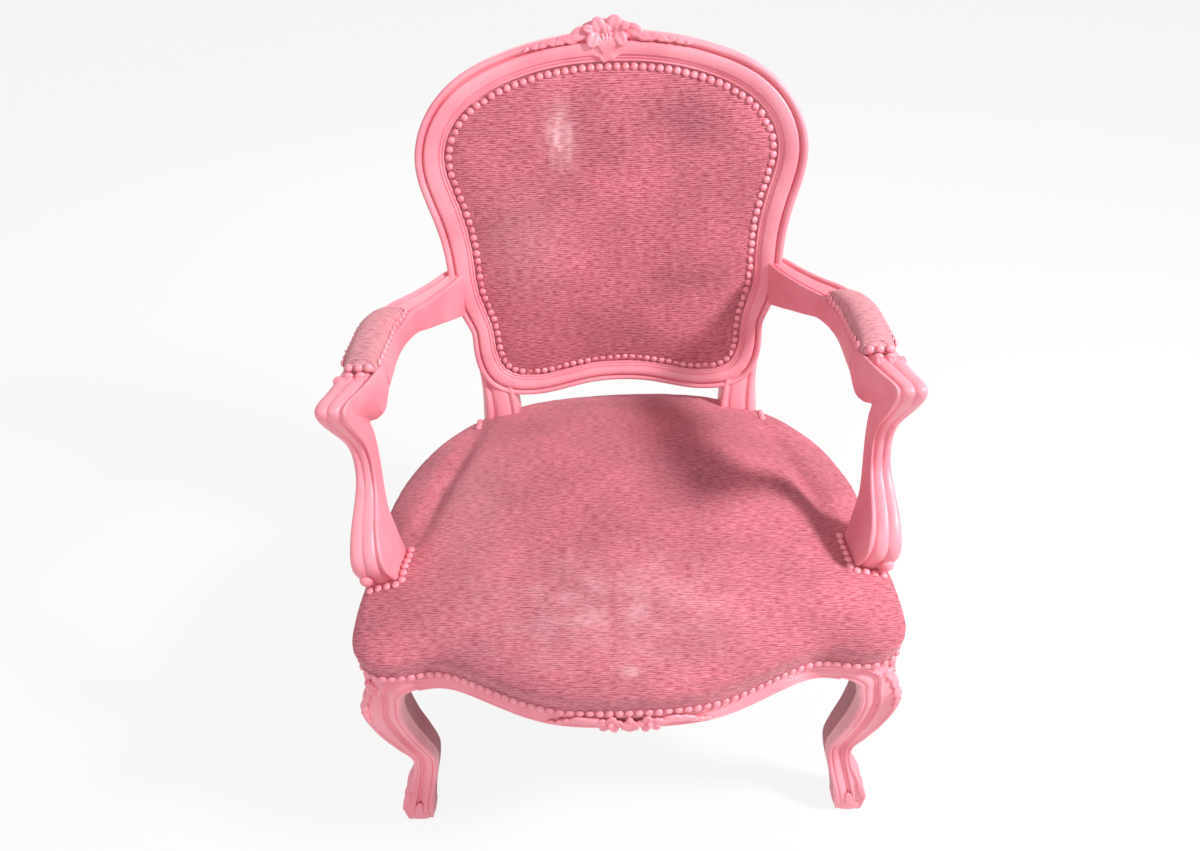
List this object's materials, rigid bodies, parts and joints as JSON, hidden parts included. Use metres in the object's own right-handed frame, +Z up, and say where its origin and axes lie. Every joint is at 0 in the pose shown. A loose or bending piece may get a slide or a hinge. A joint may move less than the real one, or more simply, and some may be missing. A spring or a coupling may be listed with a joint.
{
  "type": "open armchair",
  "caption": "Carved and moulded open armchair with cabriole legs, a hollowed cartouche back, padded arms and a domed horseshoe seat, its cloth edged with domed nails.",
  "frame": {"origin": "on the floor at the middle of the chair's box", "axes": "+X is to the right of a person who faces the chair, -Y is the chair's front, +Z is up"},
  "size_m": [0.636, 0.6194, 0.8968],
  "materials": {
    "painted_beech": "satin salmon-pink paint over carved beech",
    "bare_beech": "unfinished beech",
    "ribbed_cloth": "ribbed chenille, rose, worn",
    "painted_nails": "domed upholstery nails painted with the frame",
    "steel": "plain steel",
    "stuffing": "hair and wadding",
    "hessian": "jute",
    "black_cloth": "thin black lining cloth"
  },
  "bodies": {
    "root": {"arm_left": "painted_beech", "arm_pad_cover_left": "ribbed_cloth", "arm_pad_cover_right": "ribbed_cloth", "arm_pad_nails_left": "painted_nails", "arm_pad_nails_right": "painted_nails", "arm_pad_stuffing_left": "stuffing", "arm_pad_stuffing_right": "stuffing", "arm_right": "painted_beech", "arm_screws": "steel", "arm_support_left": "painted_beech", "arm_support_nails_left": "painted_nails", "arm_support_nails_right": "painted_nails", "arm_support_right": "painted_beech", "arm_support_screws": "steel", "back_bottom_rail": "painted_beech", "back_canvas": "hessian", "back_cover": "ribbed_cloth", "back_joint_pegs": "bare_beech", "back_nails": "painted_nails", "back_post_left": "painted_beech", "back_post_nails_left": "painted_nails", "back_post_nails_right": "painted_nails", "back_post_right": "painted_beech", "back_stuffing": "stuffing", "bottom_cloth": "black_cloth", "corner_block_front_left": "bare_beech", "corner_block_front_right": "bare_beech", "corner_block_rear_left": "bare_beech", "corner_block_rear_right": "bare_beech", "corner_block_screws": "steel", "crest_rail": "painted_beech", "front_leg_left": "painted_beech", "front_leg_right": "painted_beech", "front_seat_rail": "painted_beech", "outer_back_cover": "ribbed_cloth", "outer_back_tacks": "painted_nails", "rear_seat_rail": "painted_beech", "seat_cover": "ribbed_cloth", "seat_hessian": "hessian", "seat_joint_pegs": "bare_beech", "seat_nails": "painted_nails", "seat_stuffing": "stuffing", "seat_webbing": "hessian", "side_seat_rail_left": "painted_beech", "side_seat_rail_right": "painted_beech"}
  },
  "joints": []
}
